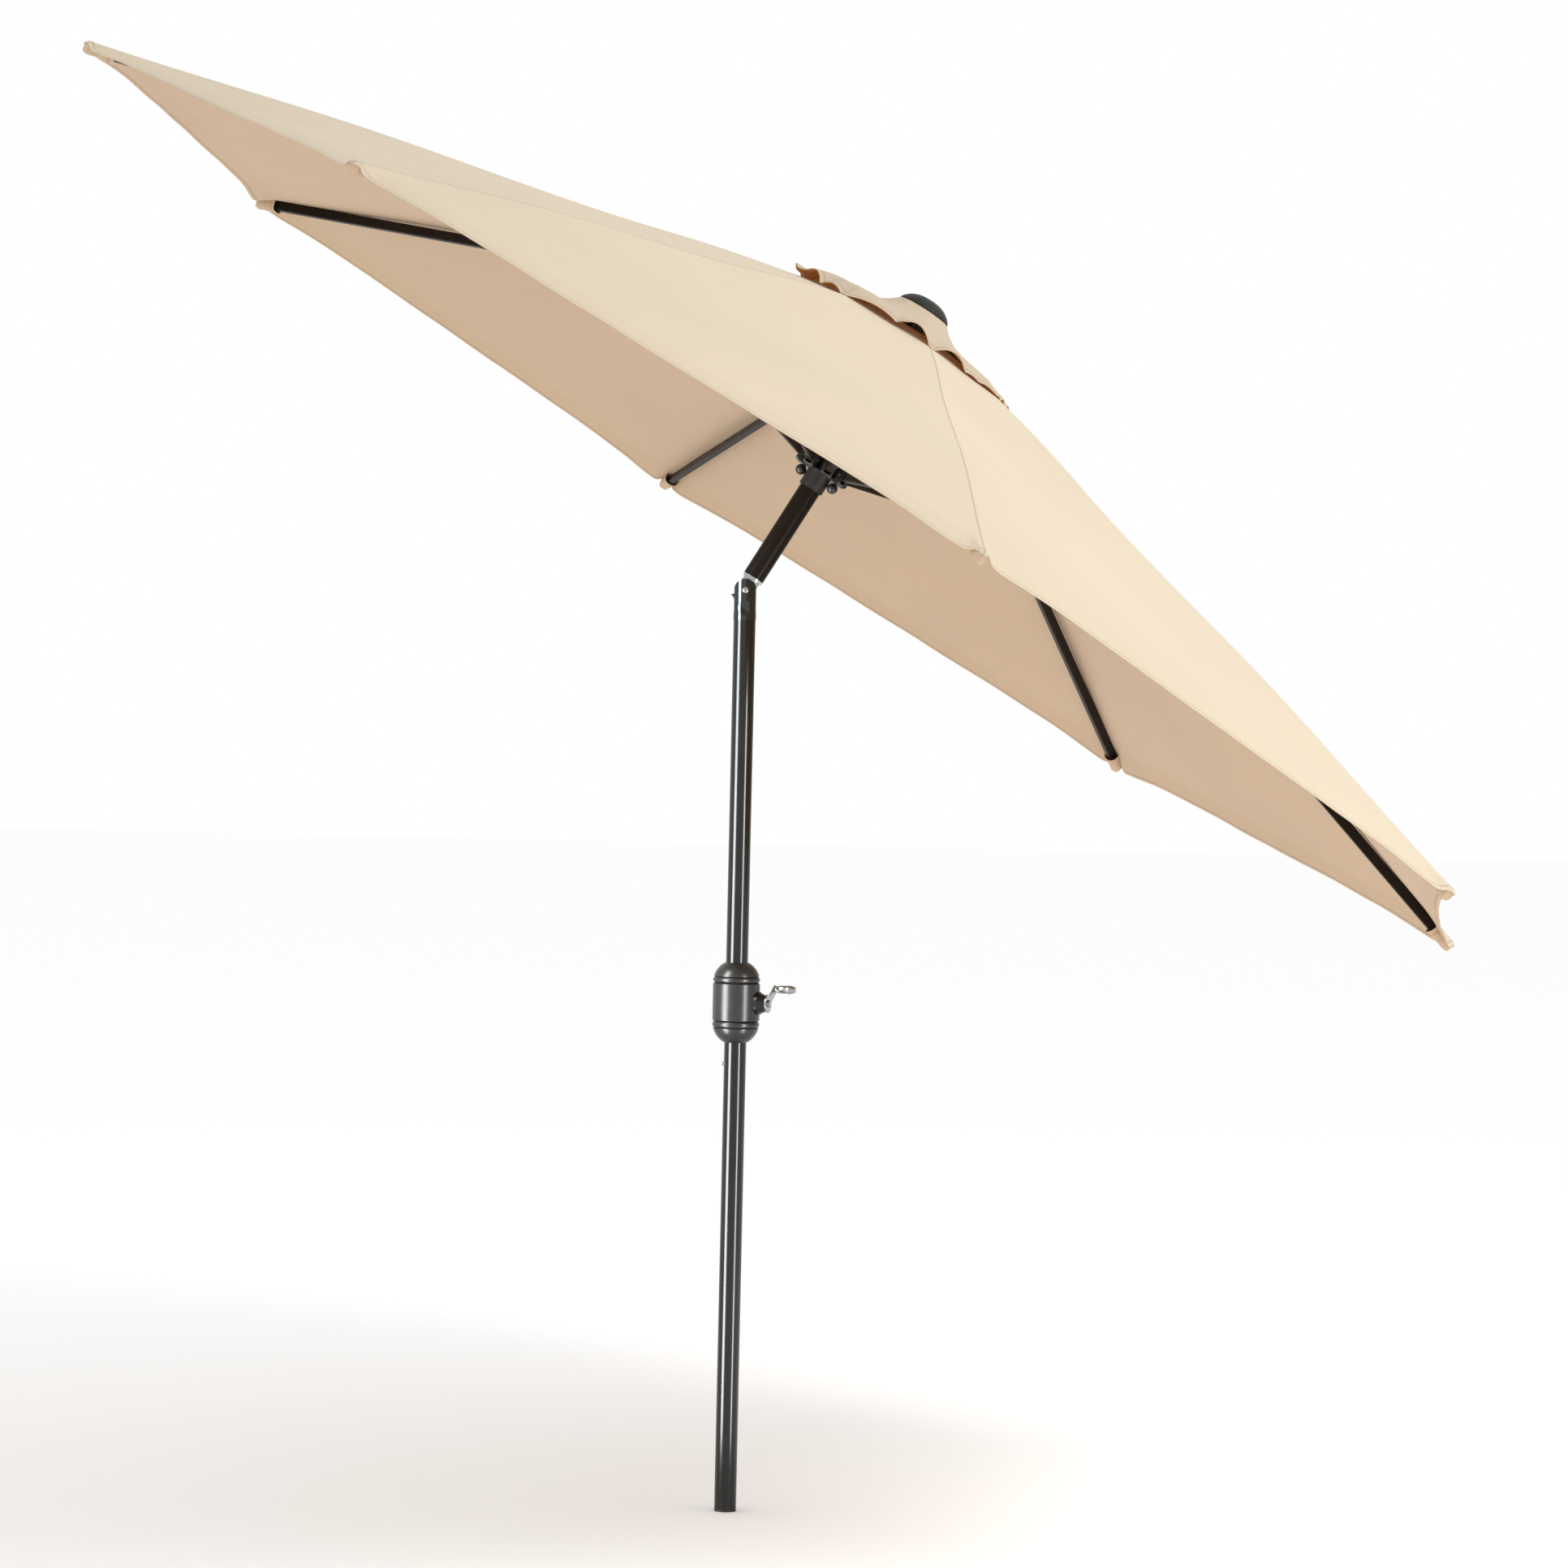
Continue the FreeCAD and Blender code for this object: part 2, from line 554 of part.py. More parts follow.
# ---- canopy ----------------------------------------------------------------------------------
def cloth_height(radius):
    """Underside of the cloth above a rib, at a radius from the mast's axis."""
    lift = (RIB_HEIGHT / 2 + CLOTH_GAP) / math.cos(math.radians(RIB_SLOPE))
    return RIB_HINGE_S + lift + (HINGE_R - radius) * SLOPE


def cloth_point(radius, angle, rib_radius):
    a = math.radians(angle)
    return Vector(radius * math.cos(a), radius * math.sin(a), cloth_height(rib_radius))


def hem_half(tip_r, sag):
    """Half of a concave hem: rib end, quarter point and middle of the gore."""
    cosine = math.cos(math.radians(HALF_GORE))
    middle_r = tip_r * cosine - sag
    tip = cloth_point(tip_r, 0, tip_r)
    middle = cloth_point(middle_r, HALF_GORE, middle_r / cosine)
    next_tip = cloth_point(tip_r, 2 * HALF_GORE, tip_r)
    curve = Part.Arc(tip, middle, next_tip)
    first = curve.FirstParameter
    last = curve.LastParameter
    quarter = curve.value(first + 0.25 * (last - first))
    return tip, quarter, middle


def half_gore():
    tip, quarter, middle = hem_half(CANOPY_TIP_R, HEM_SAG)
    inner_tip, inner_quarter, inner_middle = hem_half(CANOPY_HOLE_R, 0.6)
    edges = [
        Part.Arc(tip, quarter, middle).toShape(),
        Part.LineSegment(middle, inner_middle).toShape(),
        Part.Arc(inner_middle, inner_quarter, inner_tip).toShape(),
        Part.LineSegment(inner_tip, tip).toShape(),
    ]
    face = Part.Face(Part.Wire(edges))
    return face.extrude(Vector(0, 0, CLOTH))


def make_canopy(index):
    """One rib's share of the cloth: half a gore on each side of the rib."""
    right = half_gore()
    left = right.mirror(Vector(0, 0, 0), Y_AXIS)
    panel = right.fuse(left)
    parts["canopy_panel_%d" % (index + 1)] = on_mast(turned(panel, rib_angle(index)))


def make_vent_and_finial():
    lift = CLOTH + 0.5
    rim_z = cloth_height(VENT_R) + lift
    neck_z = FINIAL_S - CLOTH
    centre_r = (VENT_R + FINIAL_R) / 2
    centre_z = cloth_height(centre_r) + lift + 0.3 * VENT_RISE
    eye_r = 8.5
    outline = [
        arc((FINIAL_R, 0, neck_z), (centre_r, 0, centre_z), (VENT_R, 0, rim_z)),
        line((VENT_R, 0, rim_z), (VENT_R, 0, rim_z + CLOTH)),
        arc((VENT_R, 0, rim_z + CLOTH), (centre_r, 0, centre_z + CLOTH), (FINIAL_R, 0, FINIAL_S)),
        line((FINIAL_R, 0, FINIAL_S), (eye_r, 0, FINIAL_S)),
        line((eye_r, 0, FINIAL_S), (eye_r, 0, neck_z)),
        line((eye_r, 0, neck_z), (FINIAL_R, 0, neck_z)),
    ]
    parts["vent_cap"] = on_mast(lathe(outline))

    base = FINIAL_S
    top = base + FINIAL_HEIGHT
    flat_r = 3.0
    bore_r = 4.0
    bore_top = base + 14.0
    edge_z = base + 2.2
    shoulder = (0.72 * FINIAL_R, 0, base + 0.66 * FINIAL_HEIGHT + 1.0)
    skin = [
        line((bore_r, 0, base), (FINIAL_R, 0, base)),
        line((FINIAL_R, 0, base), (FINIAL_R, 0, edge_z)),
        arc((FINIAL_R, 0, edge_z), shoulder, (flat_r, 0, top)),
        line((flat_r, 0, top), (0, 0, top)),
        line((0, 0, top), (0, 0, bore_top)),
        line((0, 0, bore_top), (bore_r, 0, bore_top)),
        line((bore_r, 0, bore_top), (bore_r, 0, base)),
    ]
    parts["finial"] = on_mast(lathe(skin))


def make_all():
    make_pole()
    make_snap_button()
    make_housing()
    make_crank()
    make_knuckle()
    make_tongue()
    make_tilt_button()
    make_crown()
    make_runner()
    make_inner_cords()
    for index in range(RIB_COUNT):
        make_rib(index)
        make_strut(index)
        make_canopy(index)
    make_vent_and_finial()


make_all()
os.makedirs("parts", exist_ok=True)
for name, shape in parts.items():
    shape.exportStep("parts/%s.step" % name)
    print(name, "solids", len(shape.Solids), "valid", shape.isValid(), "volume", round(shape.Volume))
print("parts", len(parts))
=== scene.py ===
"""Looks of a patio umbrella with a crank lift and a push-button tilt, built around its CAD frame.

Lengths are in metres and angles in radians, unless a name ends in _DEG. Everything above the tilt
pivot is worked out in an upright mast frame, whose +Z is the mast, and then tilted into place.
"""

import json
import math

import bpy
import numpy as np
from mathutils import Matrix, Vector

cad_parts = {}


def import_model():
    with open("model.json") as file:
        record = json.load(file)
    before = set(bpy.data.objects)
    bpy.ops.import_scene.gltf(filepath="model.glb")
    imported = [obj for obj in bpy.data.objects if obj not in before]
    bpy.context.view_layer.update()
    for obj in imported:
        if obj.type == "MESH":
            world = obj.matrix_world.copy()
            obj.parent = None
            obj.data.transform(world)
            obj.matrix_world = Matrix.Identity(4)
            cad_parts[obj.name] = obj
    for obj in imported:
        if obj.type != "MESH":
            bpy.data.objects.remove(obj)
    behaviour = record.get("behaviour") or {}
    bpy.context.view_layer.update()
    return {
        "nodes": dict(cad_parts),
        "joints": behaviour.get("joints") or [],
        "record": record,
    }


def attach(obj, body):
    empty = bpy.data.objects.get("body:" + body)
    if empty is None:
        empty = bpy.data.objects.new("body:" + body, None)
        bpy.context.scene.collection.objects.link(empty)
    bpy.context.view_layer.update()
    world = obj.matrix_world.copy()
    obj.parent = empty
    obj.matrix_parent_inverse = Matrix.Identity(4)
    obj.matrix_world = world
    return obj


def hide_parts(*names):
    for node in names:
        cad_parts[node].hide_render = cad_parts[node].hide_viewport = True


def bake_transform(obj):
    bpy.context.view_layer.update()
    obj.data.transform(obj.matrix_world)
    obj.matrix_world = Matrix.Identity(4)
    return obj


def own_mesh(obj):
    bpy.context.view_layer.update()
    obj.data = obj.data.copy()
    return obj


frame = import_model()

# ---- what the frame says -----------------------------------------------------------------------
JOINTS = {joint["name"]: joint for joint in frame["joints"]}
NODES = frame["nodes"]
RIBS = 8
GORE = 2 * math.pi / RIBS
HALF = GORE / 2
PIVOT = Vector(JOINTS["tilt"]["pos_m"])
TILT = -math.radians(JOINTS["tilt"]["range_deg"][0])
MAST = Matrix.Translation(PIVOT) @ Matrix.Rotation(TILT, 4, "Y")
FIRST_HINGE = MAST.inverted() @ Vector(JOINTS["rib_1_fold"]["pos_m"])
FIRST_RIB = math.atan2(FIRST_HINGE.y, FIRST_HINGE.x)
HINGE_R = math.hypot(FIRST_HINGE.x, FIRST_HINGE.y)
HINGE_S = FIRST_HINGE.z

# ---- canopy dimensions -------------------------------------------------------------------------
RIB_SLOPE = math.radians(15.4)
RIB_HALF_HEIGHT = 0.009
RIB_END = 1.4345
CLOTH_GAP = 0.0013
CLOTH = 0.0009
HEM_EXTRA_ABOVE = 0.0006
HEM_EXTRA_BELOW = 0.0008
SEAM_EXTRA_BELOW = 0.0006
STITCH_GROOVE = 0.0003
STITCH_INSET = 0.002
# half widths of the painted shade in the hem's stitching groove and along the seam's crease
HEM_SHADE_HALF = 0.0012
SEAM_SHADE_HALF = 0.0016
SEAM_CREASE = 0.0005
TIP_R = 1.436
HOLE_R = 0.150
HEM_SAG = 0.030
HEM_DROP = 0.006
GORE_SAG = 0.008
VENT_EDGE_SAG = 0.0006
UNEVENNESS = 0.0008
HEM_RIPPLE = 0.0004
PUCKER_HEIGHT = 0.0008
CLOTH_LIFT = 0.007
STRUT_R = 0.56
POCKET_R = 1.392
TIP_DROP = 0.008
HEM_WIDTH = 0.011
SEAM_WIDTH = 0.008
RIB_TOP_R = 1.427
HEM_SLOPE = math.tan(HALF + math.atan(3 * HEM_SAG / (math.sin(HALF) * TIP_R)))
HOOD_R = 1.325
HOOD_DROP = 0.0055
POCKET_LENGTH = 0.047
POCKET_CLOTH = 0.0008
NOSE_LENGTH = 0.0085
POCKET_HALF_WIDTH = 0.0106
POCKET_FLARE = 0.0040
POCKET_DEPTH = 0.0110
POCKET_FLANGE = 0.0014
POCKET_UNDER_HEM = 0.0013
CREASE_DEPTH = 0.0009
HEM_CLEARANCE = 0.0026
POCKET_END_INSET = 0.0012
POCKET_SLACK = 0.0012
POCKET_SLACK_SPREAD = 0.0014
THREAD_PITCH = 0.0011
TOP_COLOUR = (0.60, 0.515, 0.385)
# painted shade: the canopy's underside and the pockets are the same cream cloth, given this darker
# colour in place of the shade under the canopy
UNDER_SHADED_COLOUR = (0.69, 0.51, 0.345)
# painted light: the cap's underside is the same cloth, coloured a brighter orange in place of
# light shining through it
CAP_UNDER_GLOW_COLOUR = (0.80, 0.50, 0.26)

# ---- vent cap dimensions -----------------------------------------------------------------------
FINIAL_S = 0.5713
FINIAL_R = 0.0475
CAP_NECK_R = 0.040
CAP_RIM_R = 0.226
CAP_CLOTH = 0.0009
# arches of the cap's loose edge in each gore: middle and half width, as shares of half a gore,
# and height
CAP_ARCHES = {
    1: [(-0.45, 0.40, 0.009), (0.40, 0.36, 0.012)],
    2: [(-0.35, 0.42, 0.013), (0.52, 0.34, 0.008)],
    3: [(-0.50, 0.34, 0.010), (0.28, 0.46, 0.015)],
    4: [(-0.30, 0.50, 0.016), (0.62, 0.26, 0.010)],
    5: [(-0.44, 0.46, 0.021), (0.42, 0.44, 0.010)],
    6: [(-0.30, 0.66, 0.012), (0.58, 0.40, 0.022)],
    7: [(-0.42, 0.44, 0.017), (0.22, 0.26, 0.004), (0.66, 0.26, 0.005)],
    8: [(-0.40, 0.34, 0.008), (0.46, 0.36, 0.010)],
}
# upturned corners of the cap: height and length by rib
CAP_TABS = {5: (0.018, 0.008), 1: (0.005, 0.005), 8: (0.003, 0.002), 4: (0.006, 0.003)}
CAP_PUFF = 0.013
CAP_BELL = 0.019
CAP_BELL_FADE = 0.0219
CAP_CLEARANCE = 0.004
CAP_OUTER_CLEARANCE = 0.007
CAP_RIM_CLEARANCE = 0.0022
CAP_UNDER_FINIAL = 0.0006

# ---- lift cord dimensions ----------------------------------------------------------------------
CORD_R = 0.0324
CORD_HALF = 0.0015
STRAND_PITCH = 0.0022
CORD_LOW_S = 0.228
CORD_HIGH_S = 0.516
CORD_AZIMUTHS_DEG = (-12.3, 167.7)


def rib_angle(number):
    return FIRST_RIB + (number - 1) * GORE


def smooth(value):
    """0 to 1 with level ends, for numbers and arrays."""
    held = np.clip(value, 0.0, 1.0)
    return held * held * (3 - 2 * held)


# ---- camera ------------------------------------------------------------------------------------
CAMERA_AZIMUTH = -0.02422
CAMERA_DISTANCE = 7.702
CAMERA_HEIGHT = 1.299
CAMERA_PAN = -0.00963
CAMERA_PITCH = -0.00564
CAMERA_ROLL = 0.02207
CAMERA_LENS = 102.55


def make_camera():
    camera = bpy.data.objects.new("camera", bpy.data.cameras.new("camera"))
    camera.data.sensor_width = 36.0
    camera.data.lens = CAMERA_LENS
    camera.data.clip_end = 100.0
    heading = CAMERA_AZIMUTH + CAMERA_PAN
    level = Vector((math.cos(heading), math.sin(heading), 0))
    look = Vector((
        -math.sin(heading) * math.cos(CAMERA_PITCH),
        math.cos(heading) * math.cos(CAMERA_PITCH),
        math.sin(CAMERA_PITCH),
    ))
    upright = level.cross(look)
    right = level * math.cos(CAMERA_ROLL) + upright * math.sin(CAMERA_ROLL)
    up = upright * math.cos(CAMERA_ROLL) - level * math.sin(CAMERA_ROLL)
    turn = Matrix((right, up, -look)).transposed().to_4x4()
    place = Vector((
        math.sin(CAMERA_AZIMUTH) * CAMERA_DISTANCE,
        -math.cos(CAMERA_AZIMUTH) * CAMERA_DISTANCE,
        CAMERA_HEIGHT,
    ))
    camera.matrix_world = Matrix.Translation(place) @ turn
    bpy.context.scene.collection.objects.link(camera)
    bpy.context.scene.camera = camera


# ---- stage and light ---------------------------------------------------------------------------
def area_light(name, place, target, size, power, colour=(1, 1, 1)):
    data = bpy.data.lights.new(name, "AREA")
    data.shape = "RECTANGLE"
    data.size, data.size_y = size
    data.energy = power
    data.color = colour
    light = bpy.data.objects.new(name, data)
    light.location = place
    light.rotation_mode = "QUATERNION"
    light.rotation_quaternion = (Vector(target) - Vector(place)).to_track_quat("-Z", "Y")
    bpy.context.scene.collection.objects.link(light)
    return light


# tall strip lights for the hard parts only: name, degrees round from the camera's side, size and
# power
STRIPS = [
    ("strip_left", -57, (0.34, 1.9), 50),
    ("strip_right", 42, (0.175, 1.42), 15),
]
STRIP_DISTANCE = 0.82
FLOOR_HALF_SIZE = 60.0
FLOOR_DEPTH = 0.0005


def make_floor():
    size = FLOOR_HALF_SIZE
    mesh = bpy.data.meshes.new("floor")
    corners = [(-size, -size, 0), (size, -size, 0), (size, size, 0), (-size, size, 0)]
    mesh.from_pydata(corners, [], [(0, 1, 2, 3)])
    floor = bpy.data.objects.new("floor", mesh)
    floor.location.z = -FLOOR_DEPTH
    bpy.context.scene.collection.objects.link(floor)
    pale, _ = new_material("pale_floor", (0.98, 0.98, 0.98), 1.0, Specular_IOR_Level=0.0)
    mesh.materials.append(pale)


def make_lights(metal_pieces):
    world = bpy.data.worlds.new("studio")
    world.use_nodes = True
    background = world.node_tree.nodes["Background"]
    background.inputs["Color"].default_value = (1.0, 1.0, 1.0, 1.0)
    background.inputs["Strength"].default_value = 1.0
    bpy.context.scene.world = world
    bpy.context.scene.view_settings.view_transform = "Standard"

    area_light("key", (3.2, -1.8, 3.8), (1.1, -0.2, 1.6), (1.4, 1.4), 100, (1.0, 0.985, 0.96))

    receivers = bpy.data.collections.new("metal_only")
    for piece in metal_pieces:
        receivers.objects.link(piece)
    for name, direction, size, power in STRIPS:
        turn = math.radians(direction)
        place = (STRIP_DISTANCE * math.sin(turn), -STRIP_DISTANCE * math.cos(turn), size[1] / 2)
        strip = area_light(name, place, (0, 0, place[2]), size, power)
        strip.visible_camera = False
        strip.light_linking.receiver_collection = receivers


# ---- material helpers --------------------------------------------------------------------------
def new_material(name, colour, roughness, **sockets):
    """Material with one Principled shader; other sockets are named with _ for a space."""
    material = bpy.data.materials.new(name)
    material.use_nodes = True
    shader = material.node_tree.nodes["Principled BSDF"]
    shader.inputs["Base Color"].default_value = (*colour, 1)
    shader.inputs["Roughness"].default_value = roughness
    for socket, value in sockets.items():
        shader.inputs[socket.replace("_", " ")].default_value = value
    return material, shader


def add_node(tree, kind, **inputs):
    """Shader node with some inputs set by socket name, from numbers or other nodes' outputs."""
    node = tree.nodes.new(kind)
    for name, value in inputs.items():
        socket = node.inputs[name.replace("_", " ")]
        if isinstance(value, bpy.types.NodeSocket):
            tree.links.new(value, socket)
        else:
            socket.default_value = value
    return node


def calculate(tree, operation, first, second=0.0):
    node = tree.nodes.new("ShaderNodeMath")
    node.operation = operation
    for socket, value in zip(node.inputs, (first, second)):
        if isinstance(value, bpy.types.NodeSocket):
            tree.links.new(value, socket)
        else:
            socket.default_value = value
    return node.outputs[0]


def between(tree, factor, low, high):
    """Colour from low to high as factor goes from 0.3 to 0.7, which is where noise lies."""
    ramp = tree.nodes.new("ShaderNodeValToRGB")
    tree.links.new(factor, ramp.inputs["Fac"])
    ramp.color_ramp.elements[0].position = 0.3
    ramp.color_ramp.elements[1].position = 0.7
    ramp.color_ramp.elements[0].color = (*low, 1)
    ramp.color_ramp.elements[1].color = (*high, 1)
    return ramp.outputs["Color"]


def noise_of(tree, scale, detail=2.0):
    place = tree.nodes.new("ShaderNodeTexCoord").outputs["Object"]
    noise = add_node(tree, "ShaderNodeTexNoise", Vector=place, Scale=scale, Detail=detail)
    return noise.outputs["Fac"]


def roughen(tree, shader, factor, low, high):
    """Roughness that varies between two values with a noise factor."""
    spread = add_node(tree, "ShaderNodeMapRange", Value=factor)
    spread.inputs["From Min"].default_value = 0.3
    spread.inputs["From Max"].default_value = 0.7
    spread.inputs["To Min"].default_value = low
    spread.inputs["To Max"].default_value = high
    tree.links.new(spread.outputs["Result"], shader.inputs["Roughness"])


def emboss(tree, shader, height, distance, strength=1.0):
    bump = add_node(tree, "ShaderNodeBump", Height=height, Distance=distance, Strength=strength)
    tree.links.new(bump.outputs["Normal"], shader.inputs["Normal"])


def scaled(colour, share):
    return tuple(channel * share for channel in colour)


# ---- hard materials ----------------------------------------------------------------------------
def coated_metal(name, colour, roughness, specular, tint=(1, 1, 1, 1)):
    """Baked or powder coat: fine orange peel, and slow changes of colour and gloss."""
    material, shader = new_material(name, colour, roughness, Specular_IOR_Level=specular,
                                    Specular_Tint=tint)
    tree = material.node_tree
    slow = noise_of(tree, 9.0, 3.0)
    tree.links.new(between(tree, slow, scaled(colour, 0.85), scaled(colour, 1.2)),
                   shader.inputs["Base Color"])
    roughen(tree, shader, noise_of(tree, 22.0, 4.0), roughness - 0.015, roughness + 0.025)
    emboss(tree, shader, noise_of(tree, 700.0, 1.0), 0.000002)
    return material


def bright_metal(name, colour, roughness):
    """Plated metal with faint rub marks and handling haze."""
    material, shader = new_material(name, colour, roughness, Metallic=1.0)
    tree = material.node_tree
    haze = noise_of(tree, 60.0, 4.0)
    tree.links.new(between(tree, haze, scaled(colour, 0.93), colour), shader.inputs["Base Color"])
    roughen(tree, shader, noise_of(tree, 140.0, 5.0), roughness * 0.7, roughness * 1.8)
    emboss(tree, shader, noise_of(tree, 1500.0, 1.0), 0.000008)
    return material


def moulded_plastic(name, colour, roughness, specular):
    """Moulded plastic with a fine spark-eroded grain."""
    material, shader = new_material(name, colour, roughness, Specular_IOR_Level=specular)
    tree = material.node_tree
    mottle = noise_of(tree, 30.0, 3.0)
    tree.links.new(between(tree, mottle, scaled(colour, 0.8), scaled(colour, 1.25)),
                   shader.inputs["Base Color"])
    roughen(tree, shader, noise_of(tree, 45.0, 3.0), roughness - 0.05, roughness + 0.08)
    emboss(tree, shader, noise_of(tree, 1800.0, 2.0), 0.00004)
    return material


def braided_cord(name, colour):
    """Braided polyester cord: two crossed sets of slanting strands."""
    material, shader = new_material(name, colour, 0.75, Sheen_Weight=0.2)
    tree = material.node_tree
    place = add_node(tree, "ShaderNodeSeparateXYZ",
                     Vector=tree.nodes.new("ShaderNodeTexCoord").outputs["Object"])
    strand = 2 * math.pi / STRAND_PITCH
    rising = calculate(tree, "ADD", place.outputs["X"], place.outputs["Z"])
    falling = calculate(tree, "SUBTRACT", place.outputs["X"], place.outputs["Z"])
    first = calculate(tree, "SINE", calculate(tree, "MULTIPLY", rising, strand))
    second = calculate(tree, "SINE", calculate(tree, "MULTIPLY", falling, strand))
    weave = calculate(tree, "MAXIMUM", first, second)
    emboss(tree, shader, weave, 0.0003)
    # painted shade and highlight: the colour follows the weave's height, darker in the grooves
    # between strands and lighter on their crowns
    tone = calculate(tree, "MULTIPLY_ADD", weave, 0.2)
    tree.links.new(between(tree, tone, scaled(colour, 0.6), scaled(colour, 1.4)),
                   shader.inputs["Base Color"])
    return material


WARM = (1.0, 0.86, 0.72, 1)


def hard_materials():
    """The material of each of the record's slots, cloth left out."""
    return {
        "pole_metal": coated_metal("charcoal_coat", (0.0024, 0.0024, 0.0023), 0.15, 0.42),
        "mast_metal": coated_metal("brown_black_coat", (0.0050, 0.0035, 0.0027), 0.32, 0.08, WARM),
        "rib_metal": coated_metal("rib_coat", (0.0105, 0.0074, 0.0052), 0.34, 0.07, WARM),
        "housing_metal": coated_metal("satin_grey_coat", (0.0085, 0.0083, 0.0080), 0.27, 0.42),
        "chrome": bright_metal("chrome_plate", (0.40, 0.415, 0.42), 0.09),
        # painted reflection: the knuckle yoke and its button are chrome, with the base colour
        # darkened in place of the dark surroundings reflected in them
        "yoke_dark_reflection": bright_metal("chrome_painted_dark_reflection", (0.060, 0.068, 0.068), 0.10),
        "inner_steel": bright_metal("zinc_plate", (0.42, 0.42, 0.41), 0.3),
        "black_plastic": moulded_plastic("black_nylon", (0.0075, 0.0060, 0.0052), 0.42, 0.3),
        "finial_plastic": moulded_plastic("grey_nylon", (0.018, 0.018, 0.0165), 0.5, 0.15),
        "cord": braided_cord("black_braid", (0.02, 0.019, 0.018)),
    }


# nodes whose look differs from that of their slot
OWN_LOOKS = {"upper_pole_tube": "mast_metal", "crank_boss": "pole_metal",
             "knuckle_yoke": "yoke_dark_reflection", "tilt_button": "yoke_dark_reflection"}


def finish_hard_parts(looks):
    """Gives each CAD node that stays in view its material, and lists those nodes' objects."""
    shown = []
    for row in frame["record"]["subparts"]:
        node = NODES[row["node"]]
        slot = OWN_LOOKS.get(row["node"], row["material_slot"])
        if slot not in looks:
            continue
        for place in node.material_slots:
            place.material = looks[slot]
        shown.append(node)
    return shown


# ---- cloth materials ---------------------------------------------------------------------------
def cloth_material(name, colour, through):
    """Woven polyester: U runs across the threads from the seam, V from the hem, both in metres."""
    material, shader = new_material(name, colour, 0.82, Sheen_Weight=0.12, Sheen_Roughness=0.5,
                                    Specular_IOR_Level=0.25)
    tree = material.node_tree
    place = add_node(tree, "ShaderNodeSeparateXYZ",
                     Vector=tree.nodes.new("ShaderNodeUVMap").outputs[0])
    thread = 2 * math.pi / THREAD_PITCH
    warp = calculate(tree, "SINE", calculate(tree, "MULTIPLY", place.outputs["X"], thread))
    weft = calculate(tree, "SINE", calculate(tree, "MULTIPLY", place.outputs["Y"], thread))
    weave = calculate(tree, "MULTIPLY", warp, weft)
    slubs = noise_of(tree, 260.0, 2.0)
    emboss(tree, shader, calculate(tree, "ADD", weave, calculate(tree, "MULTIPLY", slubs, 2.0)),
           0.00006, 0.6)
    slow = noise_of(tree, 2.6, 3.0)
    tone = calculate(tree, "ADD", calculate(tree, "MULTIPLY", slow, 0.8),
                     calculate(tree, "MULTIPLY", slubs, 0.2))
    base = between(tree, tone, scaled(colour, 0.965), scaled(colour, 1.03))
    # painted shade: the base colour is multiplied darker along the seam's crease over the rib and
    # in the hem's stitching groove
    stitches = shade_line(tree, place.outputs["X"], 0.0, SEAM_SHADE_HALF)
    hem_groove_shade = shade_line(tree, place.outputs["Y"], HEM_WIDTH - STITCH_INSET, HEM_SHADE_HALF)
    line = calculate(tree, "MAXIMUM", stitches, hem_groove_shade)
    shade = tree.nodes.new("ShaderNodeMix")
    shade.data_type = "RGBA"
    shade.blend_type = "MULTIPLY"
    tree.links.new(line, shade.inputs[0])
    tree.links.new(base, shade.inputs[6])
    shade.inputs[7].default_value = (0.72, 0.68, 0.60, 1)
    tree.links.new(shade.outputs[2], shader.inputs["Base Color"])
    glow = tree.nodes.new("ShaderNodeBsdfTranslucent")
    glow.inputs["Color"].default_value = (colour[0], colour[1] * 0.80, colour[2] * 0.55, 1)
    mixer = tree.nodes.new("ShaderNodeMixShader")
    mixer.inputs[0].default_value = through
    tree.links.new(shader.outputs[0], mixer.inputs[1])
    tree.links.new(glow.outputs[0], mixer.inputs[2])
    tree.links.new(mixer.outputs[0], tree.nodes["Material Output"].inputs["Surface"])
    return material


def shade_line(tree, place, middle, half):
    """1 within half of middle, fading to 0 just outside."""
    away = calculate(tree, "ABSOLUTE", calculate(tree, "SUBTRACT", place, middle))
    share = calculate(tree, "SUBTRACT", 1.5, calculate(tree, "DIVIDE", away, half))
    held = tree.nodes.new("ShaderNodeClamp")
    tree.links.new(share, held.inputs["Value"])
    return held.outputs[0]


# ---- cloth -------------------------------------------------------------------------------------
def waves(along, across, seed):
    """Slow unevenness of stretched cloth, about -1 to 1, the same each run."""
    total = np.zeros(np.broadcast(along, across).shape)
    for step in range(1, 5):
        turn = 1.7 * step + seed * 2.4
        pitch = 0.35 / step
        phase = along * math.cos(turn) + across * math.sin(turn)
        total += np.sin(2 * math.pi * phase / pitch + seed * 5.1 + step) / step
    return total / 2


